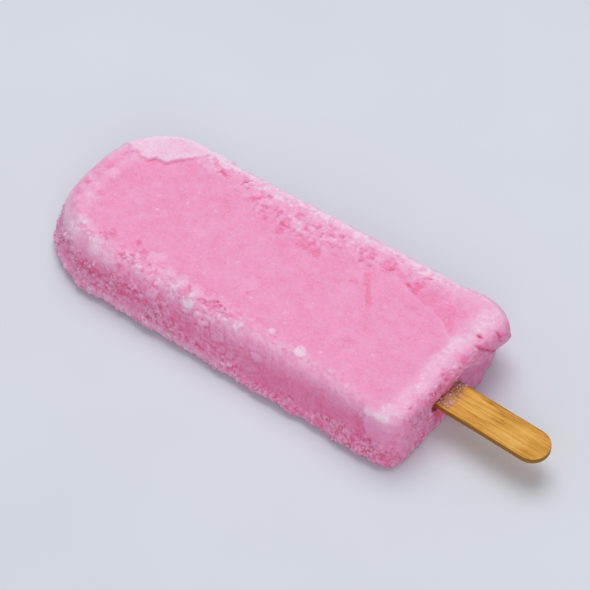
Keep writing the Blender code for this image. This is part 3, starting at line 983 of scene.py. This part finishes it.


# height along the normal, frost level less the painted shade, crumb share and grain share of every point
def sculptIce(points, normals, plan):
    s = surfaceFacts(points, normals, plan)
    for carve in (
        frostPlate, sinkPanel, crumbleFarRim, groovesAtTip, paleRidges, flakesOnNearRidge, addMarks,
        crustOnWalls, breakButtEnd, coatPlate,
    ):
        carve(s)
    for middle, reach, rise in softForms:
        away = np.linalg.norm(points - np.array(middle), axis=1) / reach
        s.height += np.maximum(s.wall, s.top) * rise * np.clip(1 - away * away, 0, 1) ** 2
    s.height += 0.10 * lumps(points, 7.0, 4) * s.top + 0.04 * s.rough1
    swellEdges(s)
    return s.height, np.clip(s.frost, 0, 1) - 0.7 * np.clip(s.hole, 0, 1), s.crumbs, np.clip(s.grain, 0, 1.5)


def buildBar():
    bm = griddedBlock(bar["grid"], bar["openBase"])
    print("ice grid", len(bm.verts))
    plan = []
    for vert in bm.verts:
        vert.co, facts = mouldedPoint(vert.co)
        plan.append(facts)
    bm.normal_update()
    points = np.array([v.co[:] for v in bm.verts])
    normals = np.array([v.normal[:] for v in bm.verts])
    height, frost, crumbShare, grainShare = sculptIce(points, normals, np.array(plan))
    frostLayer = bm.verts.layers.float.new("frost")
    crumbLayer = bm.verts.layers.float.new("crumbs")
    grainLayer = bm.verts.layers.float.new("grainShare")
    for i, vert in enumerate(bm.verts):
        resting = vert.co.z < bar["lowest"] / 2
        vert.co += vert.normal * height[i]
        vert.co.z = 0.0 if resting else max(vert.co.z, bar["lowest"])
        vert[frostLayer] = frost[i]
        vert[crumbLayer] = crumbShare[i]
        vert[grainLayer] = grainShare[i]
    return finishedPiece("iceBar", bm, pinkIce, "ice_body")


iceBar = buildBar()
print("ice bar", len(iceBar.data.polygons), "faces")


# grains of frost that stand out of the crust

grains = {
    "count": 3000,
    "smallest": 0.2,
    "largest": 0.6,
    "smallness": 2.4,  # higher makes more of them small
    "gathering": 1.5,  # higher gathers them where the crust is thick
    "lowest": 0.2,
    "length": (0.7, 1.3),
    "width": (0.6, 1.0),
    "thickness": 0.75,
    "dents": (0.75, 1.15),
    "lift": 0.1,
    "batch": 125,
    "seed": 4,
}


def scatterPlaces(piece, count, seed):  # places and normals on the piece, spread by area and grain share
    mesh = piece.data
    mesh.calc_loop_triangles()
    triangles = np.array([t.vertices[:] for t in mesh.loop_triangles])
    spots = np.array([v.co[:] for v in mesh.vertices])
    shares = np.array([d.value for d in mesh.attributes["grainShare"].data])
    a, b, c = (spots[triangles[:, i]] for i in range(3))
    across = np.cross(b - a, c - a)
    area = np.linalg.norm(across, axis=1)
    weight = area * shares[triangles].mean(axis=1) ** grains["gathering"]
    weight[spots[triangles][:, :, 2].max(axis=1) < grains["lowest"] * mm] = 0.0
    drawn = np.random.default_rng(seed)
    chosen = drawn.choice(len(triangles), size=count, p=weight / weight.sum())
    mix = drawn.random((count, 2))
    over = mix.sum(axis=1) > 1
    mix[over] = 1 - mix[over]
    places = a[chosen] + mix[:, :1] * (b - a)[chosen] + mix[:, 1:] * (c - a)[chosen]
    facing = across[chosen] / area[chosen, None]
    return (places - np.array(buttEnd)) / mm, facing


def addGrain(bm, place, facing, size, rng):
    roll, spin = rng.uniform(0, math.tau), rng.uniform(0, math.tau)
    turn = Matrix.Rotation(roll, 4, "X") @ Matrix.Rotation(spin, 4, "Z")
    length, width = size * rng.uniform(*grains["length"]), size * rng.uniform(*grains["width"])
    flat = Matrix.Diagonal((length, width, size * grains["thickness"], 1.0))
    made = bmesh.ops.create_icosphere(bm, subdivisions=1, radius=1.0, matrix=turn @ flat)
    lift = Vector(place) + Vector(facing) * size * grains["lift"]
    lift.z = max(lift.z, size * 1.35)  # above the floor, however it is turned
    for vert in made["verts"]:
        vert.co = vert.co * rng.uniform(*grains["dents"]) + lift


def buildGrains():
    places, facing = scatterPlaces(iceBar, grains["count"], grains["seed"])
    rng = random.Random(grains["seed"])
    joined = bmesh.new()
    for start in range(0, grains["count"], grains["batch"]):
        bm = bmesh.new()
        for i in range(start, min(start + grains["batch"], grains["count"])):
            share = rng.random() ** grains["smallness"]
            size = grains["smallest"] + (grains["largest"] - grains["smallest"]) * share
            addGrain(bm, places[i], facing[i], size, rng)
        part = bpy.data.meshes.new("grainBatch")
        bm.to_mesh(part)
        bm.free()
        joined.from_mesh(part)
        bpy.data.meshes.remove(part)
    return finishedPiece("frostGrains", joined, frostCrystals)


frostGrains = buildGrains()
print("frost grains", len(frostGrains.data.polygons), "faces")


# the wooden stick

stick = {
    "length": 113.0,
    "width": 10.0,
    "thickness": 2.0,
    "endRadius": 4.95,
    "edge": 0.35,
    "baseZ": 8.5,
    "y": -3.6,
    "turn": math.radians(-2.3),
    "grid": (300, 34, 7),
    "fibre": (14.0, 0.5, 0.5), "fibreDepth": (0.035, 0.03),  # along, across and up; faces and edges
    "wave": (7.0, 30.0), "waveDepth": 0.07,
    "cutFace": 0.42, "lowFace": 0.4, "farEdge": 0.14, "nearEdge": -0.10,  # how dark each part is made: painted shade on the cut faces, more of it low down; the far edge darker, the near edge lighter
    "stain": (-1.4, 3.7, 1.3, 0.8), "stained": 0.5,  # place along and across, and its reach
}


def stickShadeAndStain(x, y, z, inset, edgeShare, along):  # painted shade on its cut faces, deeper low down; darker along its far edge, lighter along its near edge; and one stain
    thick = stick["thickness"]
    cutFace = float(ramp(0.25, 0.05, inset) * ramp(0.05, 0.35, thick - z))
    farEdge = float(ramp(3.8, 4.7, y + 0.5 * noise.noise(Vector((x / 5, 0.0, 9.0)))))
    low = float(ramp(0.75, 0.35, z / thick))
    stainX, stainY, reachX, reachY = stick["stain"]
    stained = float(ramp(1.3, 0.5, math.hypot((along - stainX) / reachX, (y - stainY) / reachY)))
    # painted shade on the cut faces, deeper on their lower half
    sideShade = (stick["cutFace"] + stick["lowFace"] * low) * cutFace
    dark = max(sideShade, stick["farEdge"] * farEdge, stick["stained"] * stained)
    return dark + stick["nearEdge"] * edgeShare * (1 - cutFace) * (1 - farEdge)


def buildStick():
    bm = griddedBlock(stick["grid"])
    halfLength, halfWidth, thick = stick["length"] / 2, stick["width"] / 2, stick["thickness"]
    shadeStainLayer = bm.verts.layers.float.new("paintedShadeAndStain")
    for vert in bm.verts:
        corner = vert.co
        x, y, inset, out = roundedPlan(
            corner.x * halfLength, corner.y * halfWidth, halfLength, halfWidth,
            stick["endRadius"], stick["endRadius"],
        )
        z = (corner.z + 1) / 2 * thick
        newInset, z = roundedEdge(inset, z, thick, stick["edge"], thick)
        newInset, z = roundedEdge(newInset, z, 0.0, stick["edge"], thick)
        x -= out.x * (newInset - inset)
        y -= out.y * (newInset - inset)
        fibre = noise.noise(Vector([v / size for v, size in zip((x, y, z), stick["fibre"])]))
        wave = noise.noise(Vector((x / stick["wave"][0], y / stick["wave"][1], 3.0)))
        along = x + stickBare - halfLength
        edgeShare = float(ramp(0.5, 0.0, newInset))
        vert[shadeStainLayer] = stickShadeAndStain(x, y, z, newInset, edgeShare, along)
        onFace, onEdge = stick["fibreDepth"]
        z += onFace * fibre * (1 if z > thick / 2 else -1)
        y += (stick["waveDepth"] * wave + onEdge * fibre) * edgeShare
        vert.co = Vector((along + 0.02, y, z))
    bmesh.ops.rotate(bm, verts=bm.verts, cent=(0, 0, 0), matrix=Matrix.Rotation(stick["turn"], 3, "Z"))
    bmesh.ops.translate(bm, verts=bm.verts, vec=(0, stick["y"], stick["baseZ"]))
    return finishedPiece("woodStick", bm, stickWood, "stick")


woodStick = buildStick()
print("stick", len(woodStick.data.polygons), "faces")


# a film of clear ice that has run onto the stick, and crumbs of frost in it

film = {
    "from": -2.8,
    "to": 1.7,
    "halfWidth": 4.7,
    "thickness": 0.35,
    "grid": (44, 60),
    "lumps": ((1.1, 0.9, 0), (0.5, 0.35, 4)),  # size, share and seed
    "edgeLumps": ((2.3, 0.9, 2.0, 0.0), (9.0, 0.35, 1.0, 5.0)),
    "edgeBow": 0.8,
}

crumbs = {
    "count": 30,
    "smallest": 0.12,
    "largest": 0.5,
    "from": -2.2,
    "to": 1.0,
    "beads": 26,
    "beadSize": 0.12,
    "seed": 9,
}


def filmEdge(across):  # how far the film reaches along the stick, for a place across it from -1 to 1
    reach = film["to"] - film["edgeBow"] * across * across
    for often, share, seed, row in film["edgeLumps"]:
        reach += share * noise.noise(Vector((across * often, row, seed)))
    return reach


def buildFilm():
    bm = bmesh.new()
    bmesh.ops.create_grid(bm, x_segments=film["grid"][0], y_segments=film["grid"][1], size=1.0)
    stickTop = stick["baseZ"] + stick["thickness"]
    for vert in bm.verts:
        across, along = vert.co.y, (vert.co.x + 1) / 2
        x = film["from"] + (filmEdge(across) - film["from"]) * along
        y = across * film["halfWidth"]
        rim = min(1.0, (1 - abs(across)) * 6, (1 - along) * 8)
        lump = 0.5
        for size, share, seed in film["lumps"]:
            lump += share * noise.noise(Vector((x / size, y / size, seed)))
        vert.co = Vector((x, y, stickTop + 0.03 + film["thickness"] * max(0.1, lump) * max(0.0, rim) ** 0.5))
    base = bmesh.ops.extrude_face_region(bm, geom=bm.faces[:])
    for item in base["geom"]:
        if isinstance(item, bmesh.types.BMVert):
            item.co.z = stickTop - 0.12
    bmesh.ops.recalc_face_normals(bm, faces=bm.faces)
    bmesh.ops.translate(bm, verts=bm.verts, vec=(0, stick["y"], 0))
    return finishedPiece("clearIceFilm", bm, clearIce)


def buildCrumbs():
    rng = random.Random(crumbs["seed"])
    bm = bmesh.new()
    stickTop = stick["baseZ"] + stick["thickness"]
    upward = (0.0, 0.0, 1.0)
    for _ in range(crumbs["count"]):
        size = rng.uniform(crumbs["smallest"], crumbs["largest"])
        x = crumbs["from"] + (crumbs["to"] - crumbs["from"]) * rng.random() ** 1.6
        y = stick["y"] + rng.uniform(-1, 1) * film["halfWidth"]
        addGrain(bm, (x, y, stickTop + 0.1), upward, size, rng)
    for i in range(crumbs["beads"]):
        across = 2 * (i + rng.uniform(0.2, 0.8)) / crumbs["beads"] - 1
        y = stick["y"] + across * film["halfWidth"]
        size = crumbs["beadSize"] * rng.uniform(0.7, 1.3)
        addGrain(bm, (filmEdge(across) - 0.1, y, stickTop + 0.02), upward, size, rng)
    return finishedPiece("frostCrumbs", bm, frostCrystals)


clearIceFilm = buildFilm()
frostCrumbs = buildCrumbs()
print("clear ice and crumbs on the stick")


# floor and light

floor = {
    "size": 3.0,
    "colour": (0.70, 0.745, 0.815),
    "cloud": (14.0, 3.0, 0.5),
    "stops": ((0.3, 0.975), (0.7, 1.02)),
    "roughness": 0.6,
    "specular": 0.2,
}


def buildFloor():
    bm = bmesh.new()
    bmesh.ops.create_grid(bm, x_segments=1, y_segments=1, size=floor["size"] / 2)
    mesh = bpy.data.meshes.new("paleFloor")
    bm.to_mesh(mesh)
    bm.free()
    material, nodes, links, shader, place = newMaterial("paleFloor")
    cloud = addNoise(nodes, links, place, *floor["cloud"]).outputs["Fac"]
    stops = [(spot, [min(c * share, 1.0) for c in floor["colour"]]) for spot, share in floor["stops"]]
    links.new(addRamp(nodes, links, cloud, stops), shader.inputs["Base Color"])
    shader.inputs["Roughness"].default_value = floor["roughness"]
    shader.inputs["Specular IOR Level"].default_value = floor["specular"]
    mesh.materials.append(material)
    piece = bpy.data.objects.new("paleFloor", mesh)
    bpy.context.collection.objects.link(piece)


lights = {
    "sky": 0.37,
    "key": {"place": (-0.3, 0.42, 1.35), "power": 11.3, "size": 1.0, "colour": (1.0, 0.98, 0.97)},
    "fill": {"place": (0.8, -1.0, 0.95), "power": 6.0, "size": 1.0, "colour": (1.0, 0.97, 0.96)},
}


def makeLight():
    world = bpy.data.worlds.new("softSky")
    bpy.context.scene.world = world
    world.use_nodes = True
    sky = world.node_tree.nodes["Background"]
    sky.inputs["Color"].default_value = (1.0, 1.0, 1.0, 1.0)
    sky.inputs["Strength"].default_value = lights["sky"]
    for name, facts in (("keyLight", lights["key"]), ("fillLight", lights["fill"])):
        lamp = bpy.data.lights.new(name, "AREA")
        lamp.energy = facts["power"]
        lamp.size = facts["size"]
        lamp.color = facts["colour"]
        holder = bpy.data.objects.new(name, lamp)
        holder.location = facts["place"]
        holder.rotation_euler = Vector(facts["place"]).to_track_quat("Z", "Y").to_euler()
        bpy.context.collection.objects.link(holder)


buildFloor()
makeLight()
bpy.context.scene.view_settings.view_transform = "Standard"
print("floor and light set")
